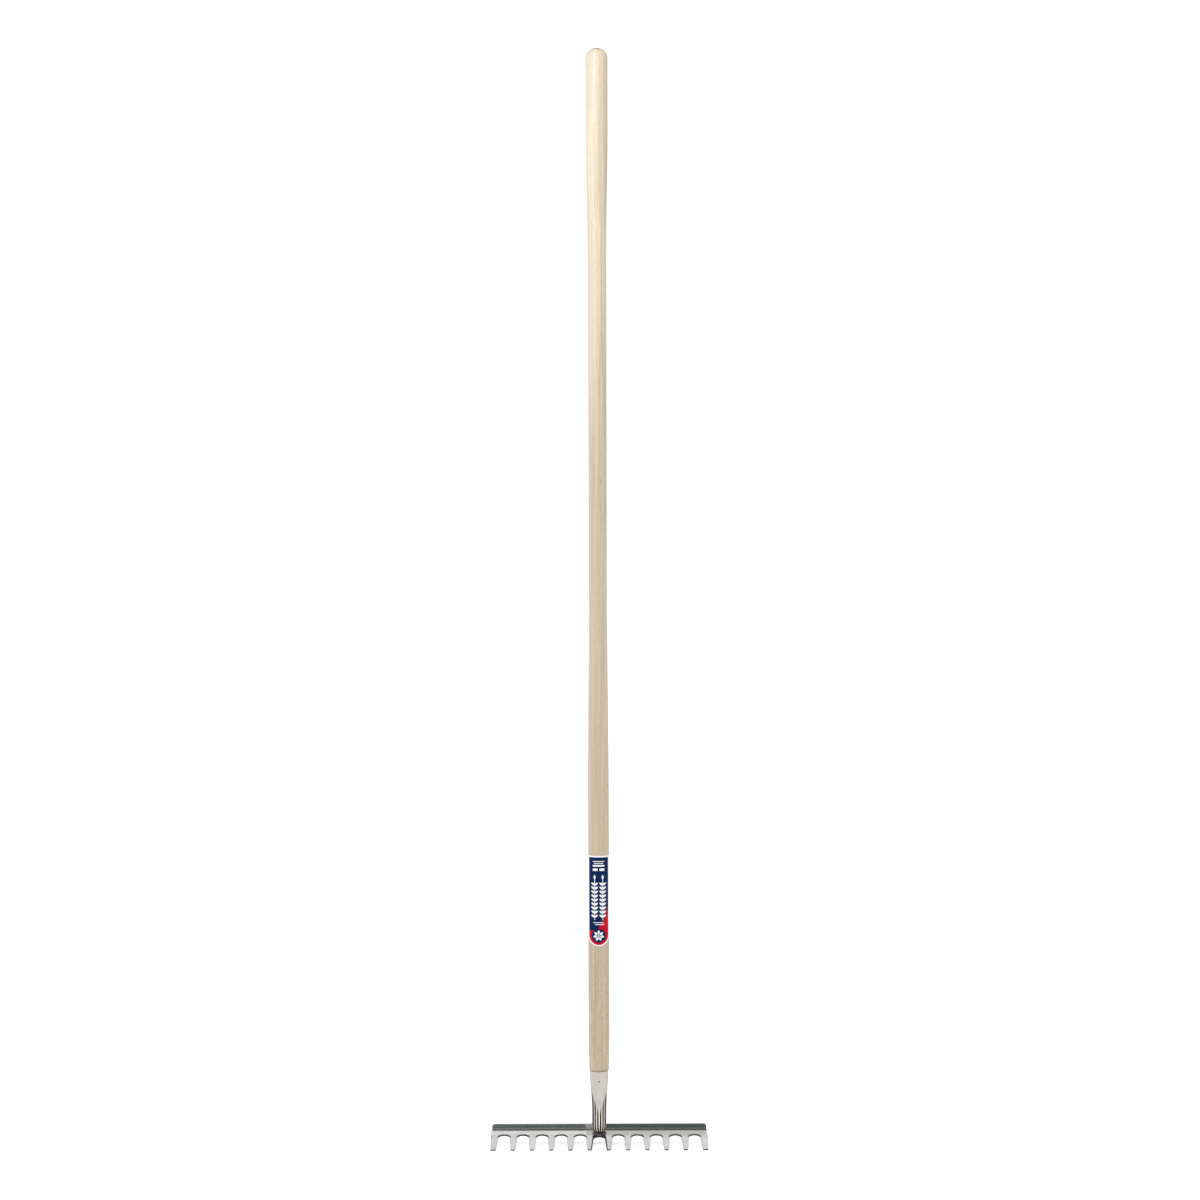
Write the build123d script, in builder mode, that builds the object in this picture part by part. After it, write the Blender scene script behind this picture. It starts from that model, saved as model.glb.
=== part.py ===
from build123d import *

import os
from math import atan2, cos, pi, radians, sin, sqrt, tan

os.makedirs("parts", exist_ok=True)

# A garden soil rake: an ash handle driven into a crimped stainless socket, which is welded to a pressed head
# with twelve tines. +Z runs up the handle, the head lies along X and the tines point to -Y. Heights are given
# above the tine tips. The frame's origin is on the handle's axis, in the middle of the straight grip.

# Handle
TOTAL_HEIGHT = 1815.0
GRIP_RADIUS = 18.25
GRIP_BOTTOM = 1690.0
END_FLAT_RADIUS = 4.0
WAIST_TOP = (15.45, 1470.0)
WAIST_BOTTOM = (14.95, 905.0)
BELLY_RADIUS = 17.5
BELLY_TOP = 574.0
BELLY_BOTTOM = 168.0
SHOULDER_RADIUS = 16.5
SHOULDER_TOP = 123.5
SHOULDER_START = 128.0
TANG_ROOT_RADIUS = 14.0
TANG_END_RADIUS = 8.6
TANG_END_HEIGHT = 38.0

# Socket
MOUTH_HEIGHT = 120.0
MOUTH_RADIUS = 15.4
THROAT_RADIUS = 12.0
THROAT_HEIGHT = 55.0
DOME_START = 29.0
NECK_HEIGHT = 18.2
NECK_RADIUS = 6.6
BORE_CLEARANCE = 2.0
FLUTES = 16
FLUTE_DEPTH = 1.7
FLUTE_START_FRONT = 60.0
FLUTE_START_SIDE = 98.0
FLUTE_START_POWER = 1.5
FLUTE_FULL_HEIGHT = 24.0
POINTS_PER_FLUTE = 6
SMOOTH_SECTIONS = (120.0, 112.0, 105.0)
FLUTED_SECTIONS = (98.0, 90.0, 82.0, 74.0, 66.0, 58.0, 50.0, 42.0, 35.0, 29.0, 25.5, 22.0, 18.2)

# Head: one pressing, a web with tines and a flange that leans a little over it
HEAD_WIDTH = 360.0
TIP_WIDTH = 356.6
SHEET = 2.0
WEB_SLOPE = 14.1
WEB_LENGTH = 71.4
CORNER_Y = 14.0
TINES = 12
PITCH = 31.5
ARCH_DEPTH = 19.6
ROOT_GAP = 17.8
TIP_GAP = 25.0
TIP_ROUNDING = 1.6
FLANGE_HEIGHT = 10.4
FLANGE_LEAN = 8.0
FLANGE_INSET = 1.6
FLANGE_CORNER = 5.0
INNER_BEND = 2.0
LIP_WIDTH = 2.0
LIP_DEPTH = 5.0
LIP_ROUNDING = 1.7
ARRIS = 0.35

# Rivet, welds and label
RIVET_HEIGHT = 104.0
RIVET_RADIUS = 1.1
RIVET_HEAD_RADIUS = 1.9
RIVET_HEAD_RISE = 0.9
RIVET_HEAD_SINK = 1.8
RIVET_HEAD_ROUNDING = 0.6
RIVET_LENGTH = 18.0
BASE_BEAD_RING = 7.0
BASE_BEAD_RADIUS = 2.1
SIDE_BEAD_X = 8.2
SIDE_BEAD_RADIUS = 2.0
SIDE_BEAD_START = 3.4
SIDE_BEAD_LENGTH = 5.6
SIDE_BEAD_ROUNDING = 1.8
LABEL_BOTTOM = 328.5
LABEL_TOP = 478.0
LABEL_HALF_WIDTH = 17.4
LABEL_THICKNESS = 0.3

# Closeness by which edges are told to lie in a face
TINY = 0.01

# Worked out from the above
DOME_RADIUS = GRIP_RADIUS - END_FLAT_RADIUS
GRIP_TOP = TOTAL_HEIGHT - DOME_RADIUS
ORIGIN_HEIGHT = (GRIP_TOP + GRIP_BOTTOM) / 2
SLOPE = radians(WEB_SLOPE)
LEAN = radians(FLANGE_LEAN)
BEND_REACH = INNER_BEND / tan((pi / 2 - LEAN) / 2)
ALONG_TINES = Vector(0, -cos(SLOPE), -sin(SLOPE))
OFF_WEB = Vector(0, -sin(SLOPE), cos(SLOPE))
CORNER_HEIGHT = WEB_LENGTH * sin(SLOPE) + SHEET * cos(SLOPE)
SIDE_ANGLE = atan2((TIP_GAP - ROOT_GAP) / 2, WEB_LENGTH - ARCH_DEPTH)
ARCH_RADIUS = ROOT_GAP / 2 * cos(SIDE_ANGLE) / (1 - sin(SIDE_ANGLE))


def up(height):
    """The frame's z of a height above the tine tips."""
    return height - ORIGIN_HEIGHT


# The web's upper face and the flange's front face, both through the fold's inner corner, and the two planes
# square to the web there: one across the head and one along it
corner = Vector(0, CORNER_Y, up(CORNER_HEIGHT))
web_plane = Plane(origin=corner, x_dir=(1, 0, 0), z_dir=OFF_WEB)
flange_plane = Plane(origin=corner, x_dir=(1, 0, 0), z_dir=ALONG_TINES * cos(LEAN) - OFF_WEB * sin(LEAN))
fold_plane = Plane(origin=corner, x_dir=-ALONG_TINES, z_dir=(1, 0, 0))
back_plane = Plane(origin=corner, x_dir=(1, 0, 0), z_dir=ALONG_TINES)


def socket_radius(height):
    """The socket's outer radius over its ridges: a swaged mouth, a straight throat and a rounded-in end."""
    if height >= THROAT_HEIGHT:
        t = (height - THROAT_HEIGHT) / (MOUTH_HEIGHT - THROAT_HEIGHT)
        return THROAT_RADIUS + (MOUTH_RADIUS - THROAT_RADIUS) * t * t * (3 - 2 * t)
    if height >= DOME_START:
        return THROAT_RADIUS
    fall = DOME_START - NECK_HEIGHT
    step = THROAT_RADIUS - NECK_RADIUS
    dome = (fall * fall + step * step) / (2 * step)
    return THROAT_RADIUS - dome + sqrt(dome * dome - (DOME_START - height) ** 2)


def flute_depth(angle, height):
    """How deep the flutes are at this place. They start higher at the socket's sides than at its front."""
    start = FLUTE_START_FRONT + (FLUTE_START_SIDE - FLUTE_START_FRONT) * abs(cos(angle)) ** FLUTE_START_POWER
    t = min(max((start - height) / (start - FLUTE_FULL_HEIGHT), 0), 1)
    wave = (1 - cos(FLUTES * angle)) / 2
    return FLUTE_DEPTH * t * wave * socket_radius(height) / THROAT_RADIUS


def fluted_ring(height):
    """Points round one cross-section of the socket."""
    points = []
    for i in range(FLUTES * POINTS_PER_FLUTE):
        angle = 2 * pi * i / (FLUTES * POINTS_PER_FLUTE)
        radius = socket_radius(height) - flute_depth(angle, height)
        points.append((radius * cos(angle), radius * sin(angle)))
    return points


def bay_outline(grow):
    """Draws, in the line builder, the gap between two tines, centred on x = 0 of the web's plane."""
    radius = ARCH_RADIUS + grow
    centre = -ARCH_DEPTH - ARCH_RADIUS
    side_x = radius * cos(SIDE_ANGLE)
    side_y = centre + radius * sin(SIDE_ANGLE)
    end_y = -WEB_LENGTH - SHEET
    end_x = side_x + (side_y - end_y) * (TIP_GAP - ROOT_GAP) / 2 / (WEB_LENGTH - ARCH_DEPTH)
    ThreePointArc((-side_x, side_y), (0, centre + radius), (side_x, side_y))
    Polyline((side_x, side_y), (end_x, end_y), (-end_x, end_y), (-side_x, side_y))


def on_lip_rim(edge):
    """Whether an edge of the head lies in the web's upper face along the middle bay."""
    middle = web_plane.to_local_coords(edge.position_at(0.5))
    return abs(middle.Z) < TINY and abs(middle.X) < TIP_GAP / 2 and middle.Y < -ARCH_DEPTH + TINY


def on_arris(edge):
    """Whether an edge of the head bounds the web's upper or lower face, away from the fold and the middle bay."""
    start = web_plane.to_local_coords(edge.position_at(0))
    middle = web_plane.to_local_coords(edge.position_at(0.5))
    flat = abs(middle.Z - start.Z) < TINY and min(abs(middle.Z), abs(middle.Z + SHEET)) < TINY
    reach = TIP_GAP / 2 + LIP_WIDTH + ARRIS
    return flat and middle.Y < -BEND_REACH - TINY and max(abs(middle.X), abs(start.X)) > reach


def on_flange_rim(edge):
    """Whether an edge of the head bounds the flange's front or back face, above the fold."""
    start = flange_plane.to_local_coords(edge.position_at(0))
    middle = flange_plane.to_local_coords(edge.position_at(0.5))
    flat = abs(middle.Z - start.Z) < TINY and min(abs(middle.Z), abs(middle.Z + SHEET)) < TINY
    return flat and middle.Y > BEND_REACH + TINY


with BuildSketch() as bay:
    with BuildLine():
        bay_outline(0)
    make_face()

with BuildSketch() as lipped_bay:
    with BuildLine():
        bay_outline(LIP_WIDTH)
    make_face()

with BuildSketch() as comb:
    with BuildLine():
        Polyline(
            (-HEAD_WIDTH / 2, -BEND_REACH),
            (HEAD_WIDTH / 2, -BEND_REACH),
            (TIP_WIDTH / 2, -WEB_LENGTH),
            (-TIP_WIDTH / 2, -WEB_LENGTH),
            close=True,
        )
    make_face()
    with GridLocations(PITCH, 1, TINES - 1, 1):
        add(bay.sketch, mode=Mode.SUBTRACT)
    tip_corners = comb.vertices().group_by(Axis.Y)[0].sort_by(lambda corner_point: abs(corner_point.X))
    fillet(tip_corners[2:], radius=TIP_ROUNDING)

# The pressed head: web and tines, flange, and a lip turned down round the middle bay
with BuildPart() as rake_head:
    with BuildSketch(web_plane):
        add(comb.sketch)
    extrude(amount=-SHEET)
    with BuildSketch(fold_plane):
        with BuildLine():
            front_foot = Vector(-sin(LEAN), cos(LEAN)) * BEND_REACH
            front_top = Vector(-tan(LEAN), 1) * FLANGE_HEIGHT
            back_foot = front_foot + Vector(cos(LEAN), sin(LEAN)) * SHEET
            back_top = front_top + Vector(SHEET / cos(LEAN), 0)
            RadiusArc((-BEND_REACH, 0), front_foot, -INNER_BEND)
            Polyline(front_foot, front_top, back_top, back_foot)
            RadiusArc(back_foot, (-BEND_REACH, -SHEET), INNER_BEND + SHEET)
            Line((-BEND_REACH, -SHEET), (-BEND_REACH, 0))
        make_face()
    extrude(amount=HEAD_WIDTH / 2, both=True)
    with BuildSketch(back_plane.offset(BEND_REACH)):
        Rectangle(HEAD_WIDTH + SHEET, 2 * FLANGE_HEIGHT + SHEET)
        with BuildSketch(mode=Mode.PRIVATE) as flange_face:
            Rectangle(HEAD_WIDTH - 2 * FLANGE_INSET, 2 * FLANGE_HEIGHT)
            fillet(flange_face.vertices().group_by(Axis.Y)[-1], radius=FLANGE_CORNER)
        add(flange_face.sketch, mode=Mode.SUBTRACT)
    extrude(amount=-BEND_REACH - 2 * SHEET, mode=Mode.SUBTRACT)
    with BuildSketch(web_plane.offset(-SHEET)):
        add(lipped_bay.sketch)
        add(comb.sketch, mode=Mode.INTERSECT)
    extrude(amount=SHEET - LIP_DEPTH)
    with BuildSketch(fold_plane):
        Polygon(
            (-ARCH_DEPTH, -LIP_DEPTH),
            (-WEB_LENGTH, -SHEET),
            (-WEB_LENGTH - SHEET, -SHEET),
            (-WEB_LENGTH - SHEET, -LIP_DEPTH - SHEET),
            (-ARCH_DEPTH, -LIP_DEPTH - SHEET),
            align=None,
        )
    extrude(amount=TIP_GAP, both=True, mode=Mode.SUBTRACT)
    fillet(rake_head.edges().filter_by(on_lip_rim), radius=LIP_ROUNDING)
    fillet(rake_head.edges().filter_by(on_arris), radius=ARRIS)
    fillet(rake_head.edges().filter_by(on_flange_rim), radius=ARRIS)
rake_head.part.label = "rake_head"
export_step(rake_head.part, "parts/rake_head.step")

# The socket's outside as a solid, before its bore and its seat on the head are cut
with BuildPart() as socket_body:
    for height in SMOOTH_SECTIONS + FLUTED_SECTIONS:
        with BuildSketch(Plane.XY.offset(up(height))):
            with BuildLine():
                Spline(*fluted_ring(height), periodic=True)
            make_face()
    loft()
    extrude(socket_body.faces().sort_by(Axis.Z)[0], amount=NECK_HEIGHT)

# The hole for the rivet, square to the handle's front
rivet_plane = Plane(origin=(0, 0, up(RIVET_HEIGHT)), x_dir=(1, 0, 0), z_dir=(0, -1, 0))

with BuildPart() as rivet_shank:
    with BuildSketch(rivet_plane.offset(MOUTH_RADIUS)):
        Circle(RIVET_RADIUS)
    extrude(amount=-RIVET_LENGTH)

# The ash shaft, turned round the Z axis, with the tang that fills the socket
with BuildPart() as handle:
    with BuildSketch(Plane.XZ):
        with BuildLine():
            tang_end = (TANG_END_RADIUS, up(TANG_END_HEIGHT))
            Polyline(
                (SHOULDER_RADIUS, up(SHOULDER_TOP)),
                (MOUTH_RADIUS, up(MOUTH_HEIGHT)),
                (TANG_ROOT_RADIUS, up(MOUTH_HEIGHT)),
                tang_end,
                (0, up(TANG_END_HEIGHT)),
                (0, up(TOTAL_HEIGHT)),
                (END_FLAT_RADIUS, up(TOTAL_HEIGHT)),
            )
            RadiusArc((END_FLAT_RADIUS, up(TOTAL_HEIGHT)), (GRIP_RADIUS, up(GRIP_TOP)), DOME_RADIUS)
            Line((GRIP_RADIUS, up(GRIP_TOP)), (GRIP_RADIUS, up(GRIP_BOTTOM)))
            waist_top = Vector(WAIST_TOP[0], up(WAIST_TOP[1]))
            waist_bottom = Vector(WAIST_BOTTOM[0], up(WAIST_BOTTOM[1]))
            waist_way = waist_bottom - waist_top
            Spline((GRIP_RADIUS, up(GRIP_BOTTOM)), waist_top, tangents=((0, -1), waist_way))
            Line(waist_top, waist_bottom)
            Spline(waist_bottom, (BELLY_RADIUS, up(BELLY_TOP)), tangents=(waist_way, (0, -1)))
            Line((BELLY_RADIUS, up(BELLY_TOP)), (BELLY_RADIUS, up(BELLY_BOTTOM)))
            Spline(
                (BELLY_RADIUS, up(BELLY_BOTTOM)),
                (SHOULDER_RADIUS, up(SHOULDER_START)),
                tangents=((0, -1), (0, -1)),
            )
            Line((SHOULDER_RADIUS, up(SHOULDER_START)), (SHOULDER_RADIUS, up(SHOULDER_TOP)))
        make_face()
    revolve(axis=Axis.Z)
    shoulder = handle.edges().filter_by(GeomType.CIRCLE).filter_by_position(
        Axis.Z, up(SHOULDER_TOP) - TINY, up(SHOULDER_TOP) + TINY
    )
    fillet(shoulder, radius=SHOULDER_RADIUS - MOUTH_RADIUS)
    add(rivet_shank.part, mode=Mode.SUBTRACT)
handle.part.label = "handle"
export_step(handle.part, "parts/handle.step")

with BuildPart() as socket:
    add(socket_body.part)
    with BuildSketch(Plane.XZ):
        slope = (TANG_ROOT_RADIUS - TANG_END_RADIUS) / (MOUTH_HEIGHT - TANG_END_HEIGHT)
        Polygon(
            (0, up(MOUTH_HEIGHT)),
            (TANG_ROOT_RADIUS, up(MOUTH_HEIGHT)),
            (TANG_END_RADIUS - slope * BORE_CLEARANCE, up(TANG_END_HEIGHT - BORE_CLEARANCE)),
            (0, up(TANG_END_HEIGHT - BORE_CLEARANCE)),
            align=None,
        )
    revolve(axis=Axis.Z, mode=Mode.SUBTRACT)
    with BuildSketch(web_plane):
        Rectangle(HEAD_WIDTH, HEAD_WIDTH)
    extrude(amount=-HEAD_WIDTH, mode=Mode.SUBTRACT)
    add(rake_head.part, mode=Mode.SUBTRACT)
    add(rivet_shank.part, mode=Mode.SUBTRACT)
socket.part.label = "socket"
export_step(socket.part, "parts/socket.step")

with BuildPart() as socket_rivet:
    add(rivet_shank.part)
    with BuildSketch(rivet_plane.offset(MOUTH_RADIUS - RIVET_HEAD_SINK)):
        Circle(RIVET_HEAD_RADIUS)
    extrude(amount=RIVET_HEAD_SINK + RIVET_HEAD_RISE)
    fillet(socket_rivet.edges().sort_by(Axis.Y)[0], radius=RIVET_HEAD_ROUNDING)
    add(socket_body.part, mode=Mode.SUBTRACT)
    add(rivet_shank.part)
socket_rivet.part.label = "socket_rivet"
export_step(socket_rivet.part, "parts/socket_rivet.step")

with BuildPart() as base_weld:
    bead_centre = Plane(origin=(0, 0, up(CORNER_HEIGHT - CORNER_Y * tan(SLOPE))), z_dir=OFF_WEB)
    with Locations(bead_centre):
        Torus(BASE_BEAD_RING, BASE_BEAD_RADIUS)
    with BuildSketch(web_plane):
        Rectangle(HEAD_WIDTH, HEAD_WIDTH)
    extrude(amount=-HEAD_WIDTH, mode=Mode.SUBTRACT)
    add(socket.part, mode=Mode.SUBTRACT)
    add(rake_head.part, mode=Mode.SUBTRACT)
base_weld.part.label = "base_weld"
export_step(base_weld.part, "parts/base_weld.step")

# Two short beads between the socket's sides and the flange
with BuildPart() as flange_welds:
    for side in (-1, 1):
        foot = flange_plane.from_local_coords(Vector(side * SIDE_BEAD_X, SIDE_BEAD_START, SIDE_BEAD_RADIUS / 2))
        with Locations(Plane(origin=foot, z_dir=flange_plane.y_dir)):
            Cylinder(SIDE_BEAD_RADIUS, SIDE_BEAD_LENGTH, align=(Align.CENTER, Align.CENTER, Align.MIN))
    fillet(flange_welds.edges().filter_by(GeomType.CIRCLE), radius=SIDE_BEAD_ROUNDING)
    add(socket.part, mode=Mode.SUBTRACT)
    add(rake_head.part, mode=Mode.SUBTRACT)
flange_welds.part.label = "flange_welds"
export_step(flange_welds.part, "parts/flange_welds.step")

# Printed film round the front of the shaft, square at the top and round at the bottom
with BuildPart() as label:
    with BuildSketch(Plane.XZ):
        with Locations((0, up(LABEL_BOTTOM) + LABEL_HALF_WIDTH)):
            Circle(LABEL_HALF_WIDTH)
            Rectangle(
                2 * LABEL_HALF_WIDTH,
                LABEL_TOP - LABEL_BOTTOM - LABEL_HALF_WIDTH,
                align=(Align.CENTER, Align.MIN),
            )
    extrude(amount=BELLY_RADIUS + SHEET)
    with BuildSketch(Plane.XY.offset(up(LABEL_BOTTOM))):
        Circle(BELLY_RADIUS + LABEL_THICKNESS)
        Circle(BELLY_RADIUS, mode=Mode.SUBTRACT)
    extrude(amount=LABEL_TOP - LABEL_BOTTOM, mode=Mode.INTERSECT)
label.part.label = "label"
export_step(label.part, "parts/label.step")
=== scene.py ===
from math import asin, cos, degrees, pi, radians, sin, tan

import bmesh
import bpy
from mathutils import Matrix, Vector


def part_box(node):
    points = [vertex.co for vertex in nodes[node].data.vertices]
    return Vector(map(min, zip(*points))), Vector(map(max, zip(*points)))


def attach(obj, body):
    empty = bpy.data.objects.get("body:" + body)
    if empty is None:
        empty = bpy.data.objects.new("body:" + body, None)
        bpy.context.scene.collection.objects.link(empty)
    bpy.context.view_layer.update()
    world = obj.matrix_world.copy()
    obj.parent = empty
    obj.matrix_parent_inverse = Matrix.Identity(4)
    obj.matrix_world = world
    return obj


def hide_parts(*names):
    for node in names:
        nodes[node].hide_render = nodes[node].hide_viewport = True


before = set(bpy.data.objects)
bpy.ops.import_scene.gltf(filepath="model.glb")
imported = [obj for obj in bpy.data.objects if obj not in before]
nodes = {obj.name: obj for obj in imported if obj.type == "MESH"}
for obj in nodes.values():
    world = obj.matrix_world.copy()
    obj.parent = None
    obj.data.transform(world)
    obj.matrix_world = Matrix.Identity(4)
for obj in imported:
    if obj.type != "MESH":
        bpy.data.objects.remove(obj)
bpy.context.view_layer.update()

# A garden soil rake in a plain white studio: sealed ash handle, crimped and polished stainless socket,
# pressed stainless head, and a printed label whose marks are generic. Metres, in the CAD model's own
# frame: +Z up the handle, the tines towards -Y, the origin in the middle of the grip.

MM = 0.001  # a millimetre, in metres

# Places read from the CAD nodes
tips_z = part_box("rake_head")[0].z
socket_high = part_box("socket")[1]
label_low, label_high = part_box("label")
label_radius = -label_low.y
rivet_low, rivet_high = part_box("socket_rivet")
weld_low, weld_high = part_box("base_weld")
weld_centre = (weld_low + weld_high) / 2

# The head's own directions and sizes: the web slopes down to the tips and the flange leans over it
WEB_SLOPE = radians(14.1)
FLANGE_LEAN = radians(8)
TINE_PITCH = 31.5 * MM
ARCH_RADIUS = 9.54 * MM
ARCH_CENTRE = 29.14 * MM  # how far down the web from the fold each bay's round end is centred
fold_point = Vector((0, 14.0 * MM, tips_z + 19.33 * MM))
along_tines = Vector((0, -cos(WEB_SLOPE), -sin(WEB_SLOPE)))
off_web = Vector((0, -sin(WEB_SLOPE), cos(WEB_SLOPE)))
up_flange = off_web * cos(FLANGE_LEAN) + along_tines * sin(FLANGE_LEAN)


# ---------------------------------------------------------------- node helpers


def as_color(value):
    """Three numbers become a colour with full opacity; a socket stays as it is."""
    return (*value, 1.0) if isinstance(value, tuple) else value


class Tree:
    """A material's node tree, with short calls for the nodes used here. A value is a number or a socket."""

    def __init__(self, name):
        self.material = bpy.data.materials.new(name)
        self.material.use_nodes = True
        self.nodes = self.material.node_tree.nodes
        self.links = self.material.node_tree.links
        self.nodes.clear()
        output = self.nodes.new("ShaderNodeOutputMaterial")
        self.shader = self.nodes.new("ShaderNodeBsdfPrincipled")
        self.links.new(self.shader.outputs[0], output.inputs["Surface"])
        self.place = self.nodes.new("ShaderNodeTexCoord").outputs["Object"]

    def put(self, value, socket):
        if isinstance(value, bpy.types.NodeSocket):
            self.links.new(value, socket)
        else:
            socket.default_value = value

    def facing(self):
        """The way the surface faces, as a direction."""
        return self.nodes.new("ShaderNodeNewGeometry").outputs["Normal"]

    def maths(self, operation, a, b=0.0):
        node = self.nodes.new("ShaderNodeMath")
        node.operation = operation
        self.put(a, node.inputs[0])
        self.put(b, node.inputs[1])
        return node.outputs[0]

    def plus(self, a, b):
        return self.maths("ADD", a, b)

    def minus(self, a, b):
        return self.maths("SUBTRACT", a, b)

    def times(self, a, b):
        return self.maths("MULTIPLY", a, b)

    def larger(self, a, b):
        return self.maths("MAXIMUM", a, b)

    def split(self, vector):
        node = self.nodes.new("ShaderNodeSeparateXYZ")
        self.put(vector, node.inputs[0])
        return node.outputs

    def length(self, x, y):
        """How far the point x, y is from the origin of its plane."""
        node = self.nodes.new("ShaderNodeCombineXYZ")
        self.put(x, node.inputs[0])
        self.put(y, node.inputs[1])
        return self.vector("DISTANCE", node.outputs[0], (0, 0, 0))

    def vector(self, operation, a, b):
        node = self.nodes.new("ShaderNodeVectorMath")
        node.operation = operation
        self.put(a, node.inputs[0])
        self.put(b, node.inputs[1])
        return node.outputs["Value" if operation in ("DOT_PRODUCT", "DISTANCE") else "Vector"]

    def noise(self, scale, stretch=(1, 1, 1), detail=2.0, roughness=0.5, distortion=0.0, offset=(0, 0, 0)):
        """Noise with features about 1 / scale metres across, longer along an axis whose stretch is low."""
        node = self.nodes.new("ShaderNodeTexNoise")
        moved = self.vector("ADD", self.place, offset)
        self.put(self.vector("MULTIPLY", moved, stretch), node.inputs["Vector"])
        node.inputs["Scale"].default_value = scale
        node.inputs["Detail"].default_value = detail
        node.inputs["Roughness"].default_value = roughness
        node.inputs["Distortion"].default_value = distortion
        return node.outputs["Fac"]

    def ramp(self, value, low, high, to_low=0.0, to_high=1.0):
        """value taken smoothly from low..high to to_low..to_high."""
        node = self.nodes.new("ShaderNodeMapRange")
        node.interpolation_type = "SMOOTHSTEP"
        for number, socket in zip((value, low, high, to_low, to_high), node.inputs[0:5]):
            self.put(number, socket)
        return node.outputs[0]

    def mix(self, share, a, b):
        node = self.nodes.new("ShaderNodeMix")
        node.data_type = "RGBA"
        self.put(share, node.inputs[0])
        self.put(as_color(a), node.inputs[6])
        self.put(as_color(b), node.inputs[7])
        return node.outputs[2]

    def bump(self, height, distance, strength, under=None):
        node = self.nodes.new("ShaderNodeBump")
        node.inputs["Strength"].default_value = strength
        node.inputs["Distance"].default_value = distance
        self.put(height, node.inputs["Height"])
        if under is not None:
            self.put(under, node.inputs["Normal"])
        return node.outputs[0]

    def finish(self, color, roughness, normal=None, **fixed):
        """Sets the shader: color, roughness and normal vary over the surface, the rest are plain values."""
        self.put(as_color(color), self.shader.inputs["Base Color"])
        self.put(roughness, self.shader.inputs["Roughness"])
        if normal is not None:
            self.put(normal, self.shader.inputs["Normal"])
        for name, value in fixed.items():
            self.shader.inputs[name.replace("_", " ")].default_value = value
        return self.material


# ------------------------------------------------------------------- materials

WOOD_PALE = (0.580, 0.484, 0.364)
WOOD_STREAK = (0.455, 0.368, 0.260)
WOOD_WARM = (0.575, 0.477, 0.336)
EARLY_WOOD = (0.422, 0.323, 0.212)
DARK_FIBRE = (0.422, 0.335, 0.225)
PORE_BROWN = (0.270, 0.194, 0.119)
FIGURE_BROWN = (0.372, 0.288, 0.178)
END_GRAIN = (0.380, 0.292, 0.196)
# Painted shade for the top of the domed end
TOP_SHADE = (0.050, 0.043, 0.038)
SEAM_STAIN = (0.12, 0.085, 0.055)
RING_WIDTH = 3.1 * MM
RING_WAVER = 2 * MM
PITH_SWAY = 16 * MM
PITH_LEFT = 55 * MM
PITH_BEHIND = 42 * MM
PITH_LEAN = 0.006


def ash_wood():
    """Sanded ash: rings cut lengthwise, pores as fine dark dashes, a mottled figure low on the shaft."""
    t = Tree("ash_wood")
    x, y, z = t.split(t.place)

    # Growth rings round a pith that lies outside the shaft and wanders along it
    sway = t.noise(1.0, (9, 9, 1.3), 2.0, offset=(3, 1, 7))
    from_pith_x = t.plus(t.plus(x, PITH_LEFT), t.times(t.minus(sway, 0.5), PITH_SWAY))
    from_pith_y = t.plus(t.minus(y, PITH_BEHIND), t.times(z, PITH_LEAN))
    ring = t.length(from_pith_x, from_pith_y)
    ring = t.plus(ring, t.times(t.noise(60, (1, 1, 0.05), 3.0), RING_WAVER))
    phase = t.maths("FRACT", t.maths("DIVIDE", ring, RING_WIDTH))
    early = t.times(t.ramp(phase, 0.0, 0.25), t.ramp(phase, 0.25, 0.8, 1.0, 0.0))

    # Pores, fibres, streaks and slow changes of tone
    pores = t.ramp(t.noise(2200, (1, 1, 0.05), 1.5, distortion=0.2), 0.55, 0.66)
    pores = t.times(pores, t.plus(t.times(early, 0.8), 0.2))
    fibre = t.noise(1500, (1, 1, 0.012), 3.0, 0.6)
    streak = t.noise(230, (1, 1, 0.016), 3.0, 0.6, offset=(1, 2, 0))
    tone = t.noise(4.0, (5, 5, 1), 2.0, offset=(5, 5, 2))
    low_down = t.ramp(z, label_high.z + 50 * MM, socket_high.z + 50 * MM)
    figure = t.noise(330, (1, 1, 0.38), 3.0, 0.65, distortion=1.4, offset=(0, 4, 0))
    figure = t.times(t.ramp(figure, 0.50, 0.62), t.plus(t.times(low_down, 0.85), 0.10))

    # The domed end, painted shade darkening its rim and top, and the stained line where the socket starts
    upward = t.split(t.facing())[2]
    end = t.ramp(upward, 0.45, 0.9)
    # Painted shade: near black over the dome's top, from its rim up
    rim = t.times(t.ramp(upward, 0.77, 0.86), t.ramp(t.noise(500), 0.35, 0.6, 0.8, 1.0))
    seam = t.ramp(z, socket_high.z + 4.2 * MM, socket_high.z + 0.8 * MM)
    seam = t.times(seam, t.ramp(t.noise(350), 0.3, 0.6, 0.5, 1.0))

    color = t.mix(t.ramp(streak, 0.34, 0.66), WOOD_PALE, WOOD_STREAK)
    color = t.mix(t.ramp(tone, 0.35, 0.7, 0.0, 0.5), color, WOOD_WARM)
    color = t.mix(t.times(early, 0.22), color, EARLY_WOOD)
    color = t.mix(t.times(t.ramp(fibre, 0.5, 0.75), 0.30), color, DARK_FIBRE)
    color = t.mix(t.times(pores, 0.5), color, PORE_BROWN)
    color = t.mix(t.times(figure, 0.60), color, FIGURE_BROWN)
    color = t.mix(t.times(end, 0.25), color, END_GRAIN)
    color = t.mix(t.times(rim, 0.92), color, TOP_SHADE)
    color = t.mix(t.times(seam, 0.65), color, SEAM_STAIN)
    rough = t.plus(t.times(streak, 0.16), 0.42)
    rough = t.plus(rough, t.times(pores, 0.2))
    grain = t.plus(t.times(fibre, 0.5), t.times(pores, -0.9))
    normal = t.bump(t.plus(grain, t.times(figure, 0.8)), 0.12 * MM, 0.6)
    return t.finish(color, rough, normal, Specular_IOR_Level=0.3)


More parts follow.
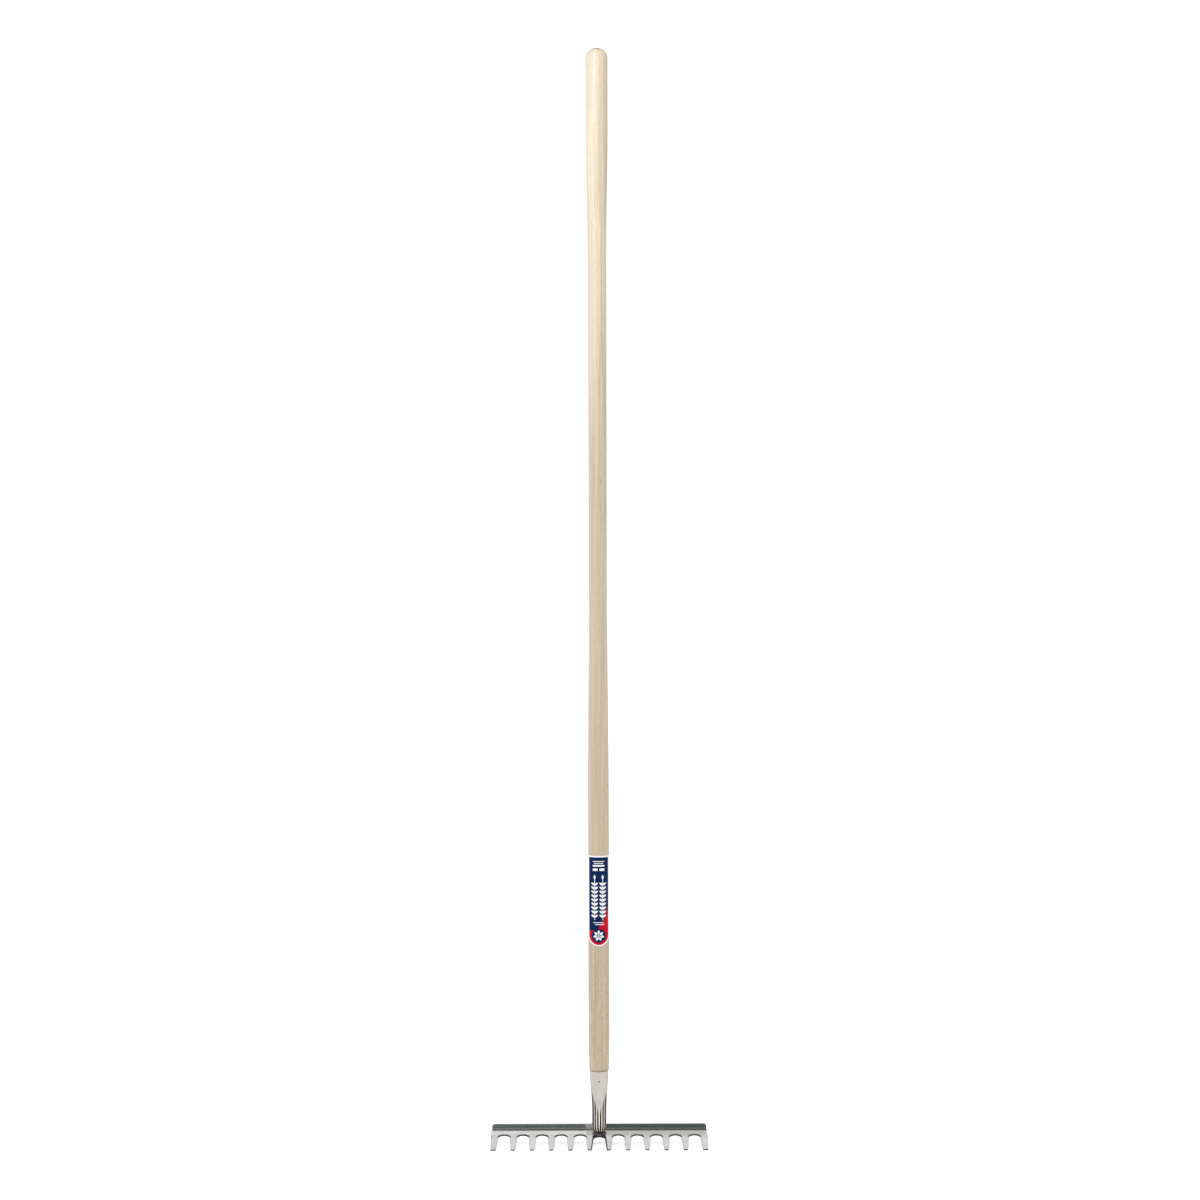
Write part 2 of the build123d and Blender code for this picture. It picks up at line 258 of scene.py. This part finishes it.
STRAW = (0.46, 0.38, 0.26)
GREY_BROWN = (0.12, 0.115, 0.115)
BLUE_BLACK = (0.022, 0.032, 0.036)


def heat_tint(t, color, reach):
    """Faint straw, then grey-brown, then blue-black oxide round the weld at the socket's foot."""
    away = t.vector("DISTANCE", t.place, tuple(weld_centre))
    wander = t.times(t.minus(t.noise(260, detail=3.0), 0.5), 4 * MM)
    heat = t.ramp(t.plus(away, wander), 6 * MM, reach, 1.0, 0.0)
    color = t.mix(t.times(t.ramp(heat, 0.05, 0.30), 0.20), color, STRAW)
    color = t.mix(t.times(t.ramp(heat, 0.30, 0.60), 0.55), color, GREY_BROWN)
    return t.mix(t.times(t.ramp(heat, 0.55, 0.90), 0.85), color, BLUE_BLACK)


SOCKET_LIGHT = (0.53, 0.485, 0.445)
SOCKET_DARK = (0.47, 0.435, 0.40)
SOCKET_CREST_HIGHLIGHT = (0.93, 0.87, 0.76)
SOCKET_RESIDUE_AND_SHADE = (0.006, 0.010, 0.007)
SOCKET_GRAZING = (0.60, 0.60, 0.59, 1.0)
FLUTES = 16.0
FLUTE_START_FRONT = 60 * MM
FLUTE_START_RISE = 38 * MM  # how much higher the flutes start at the sides than at the front


def polished_socket():
    """Drawn, crimped and polished stainless: fine lengthwise lines, ripples, polish left in the flutes under
    painted shade, painted shade stripes down the front and painted highlights on the crests near the foot.
    """
    t = Tree("polished_stainless")
    x, y, z = t.split(t.place)
    lines = t.noise(5200, (1, 1, 0.02), 2.0)
    ripple = t.noise(230, (1, 1, 0.35), 2.0, offset=(2, 0, 5))
    cloud = t.noise(75, (1, 1, 0.6), 3.0, offset=(8, 0, 1))
    scratches = t.ramp(t.noise(1900, (0.06, 0.06, 1.0), 1.0, distortion=0.3), 0.70, 0.74)

    # The flutes' valleys, darkened by polish left in them and by painted shade, and where each of them starts
    angle = t.maths("ARCTAN2", y, x)
    wave = t.maths("COSINE", t.times(angle, FLUTES))
    sideways = t.maths("POWER", t.maths("ABSOLUTE", t.maths("COSINE", angle)), 1.5)
    flute_top = t.plus(t.times(sideways, FLUTE_START_RISE), tips_z + FLUTE_START_FRONT)
    below_start = t.minus(flute_top, z)
    residue_and_shade = t.times(t.ramp(wave, 0.62, -0.10), t.ramp(below_start, 0.0, 16 * MM))

    # A broad painted shade stripe down each side of the front
    stripe_shade = t.times(t.ramp(sideways, 0.60, 0.67), t.ramp(sideways, 0.89, 0.84))
    stripe_shade = t.times(stripe_shade, t.ramp(y, 1 * MM, -1 * MM))
    stripe_shade = t.times(stripe_shade, t.ramp(below_start, 4 * MM, 20 * MM, 0.0, 0.92))
    residue_and_shade = t.larger(residue_and_shade, stripe_shade)
    residue_and_shade = t.times(residue_and_shade, t.ramp(t.noise(380, (1, 1, 0.3), 2.0), 0.25, 0.5, 0.85, 1.0))

    # Painted highlights on the crests near the foot, front and back
    crest_highlight = t.times(t.ramp(wave, 0.3, 0.85), t.ramp(z, tips_z + 62 * MM, tips_z + 44 * MM))
    crest_highlight = t.times(crest_highlight, t.ramp(sideways, 0.75, 0.45))

    color = t.mix(t.ramp(cloud, 0.3, 0.75), SOCKET_LIGHT, SOCKET_DARK)
    # Painted highlights on the crests near the foot
    color = t.mix(t.times(crest_highlight, 0.9), color, SOCKET_CREST_HIGHLIGHT)
    # Polish residue in the flutes deepened by painted shade, and the painted shade stripes
    color = t.mix(residue_and_shade, color, SOCKET_RESIDUE_AND_SHADE)
    color = heat_tint(t, color, 8.8 * MM)
    t.put(t.minus(1.0, t.times(residue_and_shade, 0.9)), t.shader.inputs["Metallic"])
    rough = t.plus(t.times(cloud, 0.10), t.times(lines, 0.10))
    rough = t.plus(rough, t.times(residue_and_shade, 0.18))
    rough = t.plus(rough, t.times(scratches, 0.08))
    normal = t.bump(ripple, 0.4 * MM, 0.22)
    normal = t.bump(t.plus(lines, t.times(scratches, -0.8)), 0.02 * MM, 0.5, normal)
    return t.finish(color, t.plus(rough, 0.06), normal, Specular_IOR_Level=0.15, Specular_Tint=SOCKET_GRAZING)


SHEET_LIGHT = (0.60, 0.595, 0.58)
SHEET_DARK = (0.53, 0.53, 0.52)
SHEET_PAINTED_LIGHT = (0.68, 0.675, 0.66)
# Painted light and shade on the flange's front face, left and right
FLANGE_PAINTED_LIGHT = (0.84, 0.85, 0.84)
FLANGE_PAINTED_SHADE = (0.61, 0.62, 0.61)
FOLD_SHADE = (0.045, 0.055, 0.052)
GROUND_GREY = (0.70, 0.71, 0.70)
RUB_GREY = (0.42, 0.42, 0.41)
EDGE_AND_SHADE_BLACK = (0.006, 0.009, 0.009)
EDGE_AND_SHADE_GREY = (0.028, 0.034, 0.034)
GROUND_SPOT = (-16.5 * MM, 11 * MM, fold_point.z + 7 * MM)


def pressed_stainless():
    """The head's sheet: rolled and polished faces, edges left by shearing that are dark partly from painted
    shade, painted shade on the lip, round the bays, in the fold and along the flange's top, painted light on
    the flange's left, rub marks near the tips.
    """
    t = Tree("pressed_stainless")
    x = t.split(t.place)[0]
    from_fold = t.vector("SUBTRACT", t.place, tuple(fold_point))
    down_web = t.vector("DOT_PRODUCT", from_fold, tuple(along_tines))
    above_web = t.vector("DOT_PRODUCT", from_fold, tuple(off_web))
    flat = t.maths("ABSOLUTE", t.vector("DOT_PRODUCT", t.facing(), tuple(off_web)))

    # Sheared edges, dark partly from painted shade, the lip round the middle bay in painted shade, and a
    # painted shade rim above each bay
    sheared_and_shaded = t.times(t.ramp(flat, 0.97, 0.80), t.ramp(down_web, 2 * MM, 4 * MM))
    at_lip = t.ramp(t.maths("ABSOLUTE", x), 16.5 * MM, 15 * MM)
    at_lip = t.times(at_lip, t.ramp(down_web, 12 * MM, 16 * MM))
    sheared_and_shaded = t.larger(sheared_and_shaded, t.times(t.ramp(flat, 0.99, 0.90), at_lip))
    beside = t.maths("PINGPONG", x, TINE_PITCH / 2)
    from_arch = t.length(beside, t.larger(t.minus(ARCH_CENTRE, down_web), 0.0))
    # Painted shade in a band round the top of each bay
    bay_rim_shade = t.ramp(from_arch, ARCH_RADIUS + 3.1 * MM, ARCH_RADIUS + 1.5 * MM)
    bay_rim_shade = t.times(bay_rim_shade, t.ramp(down_web, 31 * MM, 24 * MM))

    # The flange's front face, painted lighter left of the socket than right of it, its top edge in painted
    # shade, the inside of the fold in painted shade, and a spot ground dull beside the weld
    flange_face = t.times(t.ramp(above_web, 1 * MM, 2.5 * MM), t.ramp(down_web, -1.2 * MM, -0.2 * MM))
    # Painted shade along the flange's top edge
    flange_top_shade = t.times(t.ramp(above_web, 8.5 * MM, 9.6 * MM), t.ramp(flat, 0.25, 0.5))
    in_fold = t.times(t.ramp(down_web, 2 * MM, 1 * MM), t.ramp(above_web, 2.6 * MM, 1.2 * MM))
    in_fold = t.times(in_fold, t.ramp(above_web, -1.2 * MM, -0.6 * MM))
    ground = t.times(t.ramp(t.vector("DISTANCE", t.place, GROUND_SPOT), 8.5 * MM, 4 * MM), 0.75)

    # Rolling lines, clouds, shallow dents and rub marks
    rolled = t.noise(2400, (0.03, 1, 1), 2.0)
    cloud = t.noise(42, (0.7, 1, 1), 3.0, offset=(4, 4, 4))
    dents = t.noise(130, offset=(0, 9, 0))
    rubs = t.ramp(t.noise(1300, (1.0, 0.09, 0.09), 1.5, distortion=0.4), 0.66, 0.72)
    rubs = t.times(rubs, t.ramp(down_web, 20 * MM, 60 * MM))

    color = t.mix(t.ramp(cloud, 0.3, 0.75), SHEET_LIGHT, SHEET_DARK)
    # Painted light: the web is lighter in a strip along the fold
    color = t.mix(t.ramp(down_web, 24 * MM, 16 * MM, 0.0, 0.75), color, SHEET_PAINTED_LIGHT)
    # Painted light and shade: the flange's front face is lighter left of the socket than right of it
    color = t.mix(flange_face, color, t.mix(t.ramp(x, -12 * MM, 12 * MM), FLANGE_PAINTED_LIGHT, FLANGE_PAINTED_SHADE))
    # Painted shade inside the fold
    color = t.mix(t.times(in_fold, 0.93), color, FOLD_SHADE)
    color = heat_tint(t, color, 15.5 * MM)
    color = t.mix(t.times(ground, 0.5), color, GROUND_GREY)
    color = t.mix(t.times(rubs, 0.25), color, RUB_GREY)
    dark = t.larger(sheared_and_shaded, t.times(flange_top_shade, 0.85))
    dark = t.larger(dark, t.times(bay_rim_shade, 0.95))
    edge = t.mix(t.ramp(t.noise(900, detail=3.0), 0.35, 0.7), EDGE_AND_SHADE_BLACK, EDGE_AND_SHADE_GREY)
    # Near black over the sheared edges, partly real and partly painted shade, and painted shade on the lip,
    # the bay rims and the flange's top
    color = t.mix(dark, color, edge)
    t.put(t.minus(1.0, dark), t.shader.inputs["Metallic"])
    rough = t.plus(t.times(cloud, 0.10), t.times(rolled, 0.10))
    rough = t.plus(rough, t.times(sheared_and_shaded, 0.25))
    rough = t.plus(rough, t.times(rubs, 0.15))
    rough = t.plus(rough, t.times(ground, 0.35))
    normal = t.bump(dents, 0.4 * MM, 0.18)
    normal = t.bump(t.minus(rolled, rubs), 0.025 * MM, 0.5, normal)
    return t.finish(color, t.plus(rough, 0.07), normal, Specular_IOR_Level=0.15)


WELD_GREY = (0.05, 0.06, 0.065)
WELD_BROWN = (0.16, 0.145, 0.125)
WELD_BLUE = (0.03, 0.04, 0.055)


def weld_metal():
    """Oxidised bead: dark grey with brown and blue patches, rough."""
    t = Tree("weld_metal")
    patch = t.noise(420, detail=3.0)
    fine = t.noise(2500)
    color = t.mix(t.ramp(patch, 0.35, 0.65), WELD_GREY, WELD_BROWN)
    color = t.mix(t.times(t.ramp(fine, 0.5, 0.7), 0.5), color, WELD_BLUE)
    rough = t.plus(t.times(fine, 0.25), 0.28)
    return t.finish(color, rough, t.bump(fine, 0.08 * MM, 0.5), Metallic=0.9)


RIVET_GREY = (0.42, 0.38, 0.35)
RIVET_BROWN = (0.16, 0.125, 0.105)


def rivet_steel():
    """A dull rivet head, brownish at its rim, with hammer marks."""
    t = Tree("rivet_steel")
    marks = t.noise(900)
    in_front = t.vector("MULTIPLY", t.place, (1, 0, 1))
    from_middle = t.vector("DISTANCE", in_front, (0, 0, (rivet_low.z + rivet_high.z) / 2))
    color = t.mix(t.ramp(from_middle, 0.8 * MM, 1.8 * MM), RIVET_GREY, RIVET_BROWN)
    rough = t.plus(t.times(marks, 0.3), 0.25)
    return t.finish(color, rough, t.bump(marks, 0.1 * MM, 0.5), Metallic=0.9)


def printed(name, ink, worn):
    """Gloss-printed film: a halftone-fine mottle, hairline scuffs and a slightly uneven varnish."""
    t = Tree(name)
    mottle = t.noise(3200, detail=1.0)
    uneven = t.noise(60, offset=(7, 1, 3))
    scuffs = t.ramp(t.noise(1500, (1.0, 1.0, 0.07), 1.0, distortion=0.5), 0.70, 0.74)
    color = t.mix(t.times(t.ramp(mottle, 0.45, 0.65), 0.18), ink, worn)
    color = t.mix(t.times(scuffs, 0.22), color, worn)
    color = t.mix(t.times(t.ramp(uneven, 0.4, 0.7), 0.10), color, worn)
    rough = t.plus(t.times(uneven, 0.14), 0.30)
    rough = t.plus(rough, t.times(scuffs, 0.2))
    normal = t.bump(t.minus(uneven, t.times(scuffs, 0.3)), 0.06 * MM, 0.4)
    return t.finish(color, rough, normal, Specular_IOR_Level=0.06)


materials = {
    "handle": ash_wood(),
    "socket": polished_socket(),
    "rake_head": pressed_stainless(),
    "weld": weld_metal(),
    "socket_rivet": rivet_steel(),
    "label": printed("label_white", (0.80, 0.82, 0.84), (0.68, 0.70, 0.73)),
    "navy": printed("ink_navy", (0.0, 0.014, 0.070), (0.004, 0.024, 0.10)),
    "red": printed("ink_red", (0.47, 0.002, 0.012), (0.55, 0.03, 0.035)),
    "white": printed("ink_white", (0.80, 0.81, 0.83), (0.60, 0.62, 0.66)),
}

for name in ("handle", "socket", "rake_head", "socket_rivet", "label"):
    for material_slot in nodes[name].material_slots:
        material_slot.link = "OBJECT"
        material_slot.material = materials[name]


# ------------------------------------------------------------------ weld beads


def add_piece(name, mesh, material, smooth=True):
    """Puts a mesh in the scene as a piece that rides on the rake."""
    mesh.validate()
    for polygon in mesh.polygons:
        polygon.use_smooth = smooth
    mesh.materials.append(material)
    piece = bpy.data.objects.new(name, mesh)
    bpy.context.scene.collection.objects.link(piece)
    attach(piece, "root")
    return piece


def surface_mesh(name, point, around, across, closed_across=True):
    """Quads over a grid of parameters that closes round u; point(u, v) gives a place for u and v in 0..1."""
    mesh = bpy.data.meshes.new(name)
    bm = bmesh.new()
    columns = across if closed_across else across + 1
    grid = [[bm.verts.new(point(i / around, j / across)) for j in range(columns)] for i in range(around)]
    for i in range(around):
        for j in range(across):
            a, b = grid[i], grid[(i + 1) % around]
            bm.faces.new((a[j], b[j], b[(j + 1) % columns], a[(j + 1) % columns]))
    bmesh.ops.recalc_face_normals(bm, faces=bm.faces)
    bm.to_mesh(mesh)
    bm.free()
    return mesh


BEAD_RING = 7.0 * MM
BEAD_RIPPLES = 24
BEAD_LIFT = 0.1 * MM
BEAD_THICK, BEAD_RIPPLE, BEAD_WAVER = 1.75, 0.28, 0.12  # the roll's radius and how much it varies, in mm


def base_bead_point(u, v):
    """The rippled ring of weld round the socket's foot, lying on the web."""
    turn = 2 * pi * u
    roll = 2 * pi * v
    ripple = abs(sin(BEAD_RIPPLES * turn / 2 + 0.5 * sin(5 * turn)))
    thick = (BEAD_THICK + BEAD_RIPPLE * ripple + BEAD_WAVER * sin(3 * turn + 1)) * MM
    outward = Vector((cos(turn), sin(turn) * cos(WEB_SLOPE), sin(turn) * sin(WEB_SLOPE)))
    centre = Vector((0, 0, fold_point.z - fold_point.y * tan(WEB_SLOPE)))
    return centre + outward * (BEAD_RING + thick * cos(roll)) + off_web * (thick * sin(roll) + BEAD_LIFT)


SIDE_BEAD_X = 8.2 * MM
SIDE_BEAD_OUT = 1.0 * MM
SIDE_BEAD_RIPPLES = 7
SIDE_BEAD_RIPPLE = 0.22  # mm
SIDE_BEAD_FOOT, SIDE_BEAD_LENGTH = 3.2, 5.8  # up the flange, in mm
SIDE_BEAD_TAPER = 0.45
SIDE_BEAD_LEAST = 0.02 * MM


def side_bead_point(side):
    """A rippled bead between the socket's side and the flange."""

    def point(u, v):
        turn = 2 * pi * u
        height = (SIDE_BEAD_FOOT + SIDE_BEAD_LENGTH * v) * MM
        swell = sin(pi * min(max(v, 0.0), 1.0)) ** SIDE_BEAD_TAPER
        ripple = abs(sin(SIDE_BEAD_RIPPLES * pi * v))
        thick = (BEAD_THICK + SIDE_BEAD_RIPPLE * ripple) * swell * MM + SIDE_BEAD_LEAST
        foot = fold_point + Vector((side * SIDE_BEAD_X, 0, 0)) + along_tines * SIDE_BEAD_OUT
        around = Vector((cos(turn) * thick, 0, 0)) + along_tines * (sin(turn) * thick)
        return foot + up_flange * height + around

    return point


mesh = surface_mesh("base_weld_bead", base_bead_point, around=288, across=20)
bead = add_piece("base_weld_bead", mesh, materials["weld"])
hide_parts("base_weld")
for side, word in ((-1, "left"), (1, "right")):
    point = side_bead_point(side)
    mesh = surface_mesh(f"flange_weld_{word}", point, around=24, across=60, closed_across=False)
    bead = add_piece(f"flange_weld_{word}", mesh, materials["weld"])
    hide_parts("flange_welds")


# ----------------------------------------------------------------- label print

PRINT_RISE = 0.05 * MM
PRINT_SINK = 0.02 * MM
PRINT_STEP = radians(3)
FIELD = 15.6 * MM
FIELD_LOW = 2.2 * MM
FIELD_MARGIN = 2.6 * MM
ROUNDEL_Z = 17.5 * MM
ROUNDEL_RADIUS = 11.6 * MM
SWEEP_LOW, SWEEP_CLIMB = 25.5, 41  # the left end of the red's upper edge and how far it climbs, in mm


def in_fixed_order(bm):
    """Orders the mesh by place, because cutting and extruding leave an order that differs from run to run."""

    def middle(face):
        return face.calc_center_median()[:]

    for index, face in enumerate(sorted(bm.faces, key=middle)):
        face.index = index
    bm.faces.sort()
    places = [(vert.co[:], sorted(middle(face) for face in vert.link_faces), vert) for vert in bm.verts]
    for index, (_, _, vert) in enumerate(sorted(places, key=lambda place: place[:2])):
        vert.index = index
    bm.verts.sort()


def wrap(piece_name, outlines, layer, material):
    """Thin printed shapes on the label, as one piece. An outline is a list of (x, z) as seen from the front,
    x from the middle of the label and z from its lower end. It is cut into strips and laid on the round of
    the shaft, one print's thickness higher for each layer."""
    bm = bmesh.new()
    for outline in outlines:
        bm.faces.new([bm.verts.new((x, 0, z)) for x, z in outline])
    strips = int(pi / 2 / PRINT_STEP)
    for i in range(-strips, strips + 1):
        cut = label_radius * sin(i * PRINT_STEP)
        geometry = bm.verts[:] + bm.edges[:] + bm.faces[:]
        bmesh.ops.bisect_plane(bm, geom=geometry, plane_co=(cut, 0, 0), plane_no=(1, 0, 0))
    inner = label_radius + layer * PRINT_RISE - PRINT_SINK
    outer = label_radius + (layer + 1) * PRINT_RISE
    shell = bmesh.ops.extrude_face_region(bm, geom=bm.faces[:])
    raised = {v for v in shell["geom"] if isinstance(v, bmesh.types.BMVert)}
    for vert in bm.verts:
        angle = asin(max(-1, min(1, vert.co.x / label_radius)))
        radius = outer if vert in raised else inner
        vert.co = Vector((radius * sin(angle), -radius * cos(angle), vert.co.z + label_low.z))
    bmesh.ops.recalc_face_normals(bm, faces=bm.faces)
    in_fixed_order(bm)
    mesh = bpy.data.meshes.new(piece_name)
    bm.to_mesh(mesh)
    bm.free()
    return add_piece(piece_name, mesh, material, smooth=False)


def half_round(half_width, low, steps=40):
    """The round lower end of the label's field, from left to right."""
    turns = (pi + pi * i / steps for i in range(steps + 1))
    return [(half_width * cos(a), low + half_width + half_width * sin(a)) for a in turns]


def disc(x, z, radius, steps=48):
    turns = (2 * pi * i / steps for i in range(steps))
    return [(x + radius * cos(a), z + radius * sin(a)) for a in turns]


def bar(x0, z0, x1, z1, corner, steps=5):
    """A rectangle with rounded corners."""
    left, right, low, high = x0 + corner, x1 - corner, z0 + corner, z1 - corner
    points = []
    for start, (x, z) in enumerate(((right, high), (left, high), (left, low), (right, low))):
        turns = ((start + i / steps) * pi / 2 for i in range(steps + 1))
        points += [(x + corner * cos(a), z + corner * sin(a)) for a in turns]
    return points


def red_sweep(steps=24):
    """The red lower part of the field: its upper edge climbs steeply towards the right."""
    shares = [1 - i / steps for i in range(steps + 1)]
    curve = [(FIELD * (2 * u - 1), (SWEEP_LOW + SWEEP_CLIMB * u ** 3) * MM) for u in shares]
    return half_round(FIELD, FIELD_LOW) + curve


def leaf(x, z, length, width, angle, steps=9):
    """A pointed leaf starting at x, z and pointing the way of angle, in degrees from straight up."""
    way = radians(90 - angle)
    points = []
    for side in (1, -1):
        for i in range(steps):
            u = i / steps if side > 0 else 1 - i / steps
            v = side * sin(pi * u) ** 0.8 * (1.15 - 0.5 * u) * width / 2
            across, up = u * length * cos(way) - v * sin(way), u * length * sin(way) + v * cos(way)
            points.append((x + across, z + up))
    return points


STEM_HALF_WIDTH = 0.55 * MM
STEM_CORNER = 0.3 * MM
LEAF_ANGLE = 52


def sprig(x, low, high, pairs, length, width):
    """A straight stem with pairs of leaves and one at its tip."""
    stem_top = high - length * 0.6
    shapes = [bar(x - STEM_HALF_WIDTH, low, x + STEM_HALF_WIDTH, stem_top, STEM_CORNER)]
    for i in range(pairs):
        z = low + (0.06 + 0.80 * i / pairs) * (high - low)
        shapes += [leaf(x, z, length, width, side * LEAF_ANGLE) for side in (-1, 1)]
    return shapes + [leaf(x, high - length, length, width, 0)]


field_high = label_high.z - label_low.z - FIELD_MARGIN
field = half_round(FIELD, FIELD_LOW) + [(FIELD, field_high), (-FIELD, field_high)]
wrap("label_navy_field", [field], 0, materials["navy"])
wrap("label_red_sweep", [red_sweep()], 1, materials["red"])
wrap("label_roundel", [disc(0, ROUNDEL_Z, ROUNDEL_RADIUS)], 2, materials["navy"])

# Two sprigs, with plain bars above and below them: each bar's left, right and lower edge and its height
BARS = (
    (-9.5, 9.5, 139.5, 1.3),
    (-7.5, 7.5, 136.1, 1.3),
    (-9.5, 9.5, 131.7, 2.6),
    (-9.5, -1.5, 124.5, 4.2),
    (1.5, 9.5, 124.5, 4.2),
    (-9.0, 8.0, 38.6, 1.2),
    (-6.0, 9.0, 35.4, 1.2),
)
BAR_CORNER = 0.4 * MM
SPRIG_X = 6.6 * MM
SPRIG_LOW, SPRIG_HIGH = 43.5 * MM, 118 * MM
marks = [bar(x0 * MM, z * MM, x1 * MM, (z + thick) * MM, BAR_CORNER) for x0, x1, z, thick in BARS]
for x in (-SPRIG_X, SPRIG_X):
    marks += sprig(x, SPRIG_LOW, SPRIG_HIGH, pairs=9, length=7.0 * MM, width=4.0 * MM)
wrap("label_sprigs", marks, 3, materials["white"])

# A flower in the roundel
PETALS = 7
PETAL_START = 2.6 * MM
petal_turns = [2 * pi * i / PETALS for i in range(PETALS)]
petal_feet = [(PETAL_START * sin(a), ROUNDEL_Z + PETAL_START * cos(a), a) for a in petal_turns]
PETAL_LENGTH, PETAL_WIDTH = 6.6 * MM, 4.4 * MM
flower = [leaf(x, z, PETAL_LENGTH, PETAL_WIDTH, degrees(a), steps=12) for x, z, a in petal_feet]
flower.append(disc(0, ROUNDEL_Z, 1.6 * MM, steps=24))
wrap("label_flower", flower, 3, materials["white"])


# ---------------------------------------------------------- floor, lights, camera

# The camera looks level, from above the height of the head, and is rolled very slightly
CAMERA_DISTANCE = 3.9
CAMERA_HEIGHT = 0.9006
CAMERA_ROLL = radians(0.15)
camera_data = bpy.data.cameras.new("camera")
camera_data.sensor_width = 36.0
camera_data.lens = 70.52
camera_data.clip_end = 100
camera = bpy.data.objects.new("camera", camera_data)
bpy.context.scene.collection.objects.link(camera)
bpy.context.scene.camera = camera
camera.location = (3.5 * MM, -CAMERA_DISTANCE, tips_z + CAMERA_HEIGHT)
camera.rotation_euler = (pi / 2, CAMERA_ROLL, 0)


def floor_material():
    """Pale floor, lifted a little so that it runs into the white background."""
    t = Tree("floor_white")
    speck = t.noise(30)
    color = t.mix(t.times(speck, 0.1), (0.93, 0.93, 0.93), (0.90, 0.90, 0.90))
    white = (1, 1, 1, 1)
    return t.finish(color, 0.6, Emission_Color=white, Emission_Strength=0.30, Specular_IOR_Level=0.1)


FLOOR_HALF = 14.0
floor_mesh = bpy.data.meshes.new("floor")
corners = [(x * FLOOR_HALF, y * FLOOR_HALF, tips_z) for x, y in ((-1, -1), (1, -1), (1, 1), (-1, 1))]
floor_mesh.from_pydata(corners, [], [(0, 1, 2, 3)])
floor_mesh.materials.append(floor_material())
floor = bpy.data.objects.new("floor", floor_mesh)
bpy.context.scene.collection.objects.link(floor)

# The dark part of the room: how high its middle is, and the radius of the whole and of its darkest part
DARK_HEIGHT = radians(34)
DARK_REACH, DARK_CORE = radians(20), radians(11)
DARK_COLOR = (0.060, 0.086, 0.081, 1)


def studio_world():
    """White to the camera. To all else a bright room, brighter on the left, dark high behind the camera."""
    world = bpy.data.worlds.new("studio")
    bpy.context.scene.world = world
    world.use_nodes = True
    tree = world.node_tree
    tree.nodes.clear()
    output = tree.nodes.new("ShaderNodeOutputWorld")
    background = tree.nodes.new("ShaderNodeBackground")
    path = tree.nodes.new("ShaderNodeLightPath")
    where = tree.nodes.new("ShaderNodeTexCoord")

    def facing(direction, from_dot, to_dot, from_value, to_value):
        """A value that changes as directions come round towards the one given."""
        toward = tree.nodes.new("ShaderNodeVectorMath")
        toward.operation = "DOT_PRODUCT"
        toward.inputs[1].default_value = direction
        tree.links.new(where.outputs["Generated"], toward.inputs[0])
        change = tree.nodes.new("ShaderNodeMapRange")
        change.interpolation_type = "SMOOTHSTEP"
        for number, socket in zip((from_dot, to_dot, from_value, to_value), change.inputs[1:5]):
            socket.default_value = number
        tree.links.new(toward.outputs["Value"], change.inputs[0])
        return change.outputs[0]

    def from_white(share, color):
        """The node of a mix from white to color. The caller may link a colour in place of white."""
        node = tree.nodes.new("ShaderNodeMix")
        node.data_type = "RGBA"
        tree.links.new(share, node.inputs[0])
        node.inputs[6].default_value = (1, 1, 1, 1)
        node.inputs[7].default_value = color
        return node

    dark = facing((0, -cos(DARK_HEIGHT), sin(DARK_HEIGHT)), cos(DARK_REACH), cos(DARK_CORE), 0.0, 1.0)
    room = from_white(dark, DARK_COLOR)
    seen = from_white(path.outputs["Is Camera Ray"], (1, 1, 1, 1))
    tree.links.new(room.outputs[2], seen.inputs[6])
    tree.links.new(seen.outputs[2], background.inputs["Color"])
    tree.links.new(facing((-1, 0, 0), -1.0, 1.0, 1.00, 1.20), background.inputs["Strength"])
    tree.links.new(background.outputs[0], output.inputs["Surface"])


studio_world()

# A soft bluish light on the grip, from the front left
SOFTBOX_PLACE = Vector((-0.42, -0.95, 0.20))
SOFTBOX_TARGET = Vector((0, 0, -0.05))
softbox_data = bpy.data.lights.new("top_softbox", "AREA")
softbox_data.shape = "RECTANGLE"
softbox_data.size = softbox_data.size_y = 0.5
softbox_data.energy = 4.4
softbox_data.color = (0.76, 0.84, 1.0)
softbox_data.spread = radians(106)
softbox = bpy.data.objects.new("top_softbox", softbox_data)
bpy.context.scene.collection.objects.link(softbox)
softbox.location = SOFTBOX_PLACE
softbox.rotation_euler = (SOFTBOX_TARGET - SOFTBOX_PLACE).to_track_quat("-Z", "Y").to_euler()
softbox.visible_camera = False

bpy.context.scene.view_settings.view_transform = "Standard"
bpy.context.scene.view_settings.look = "None"
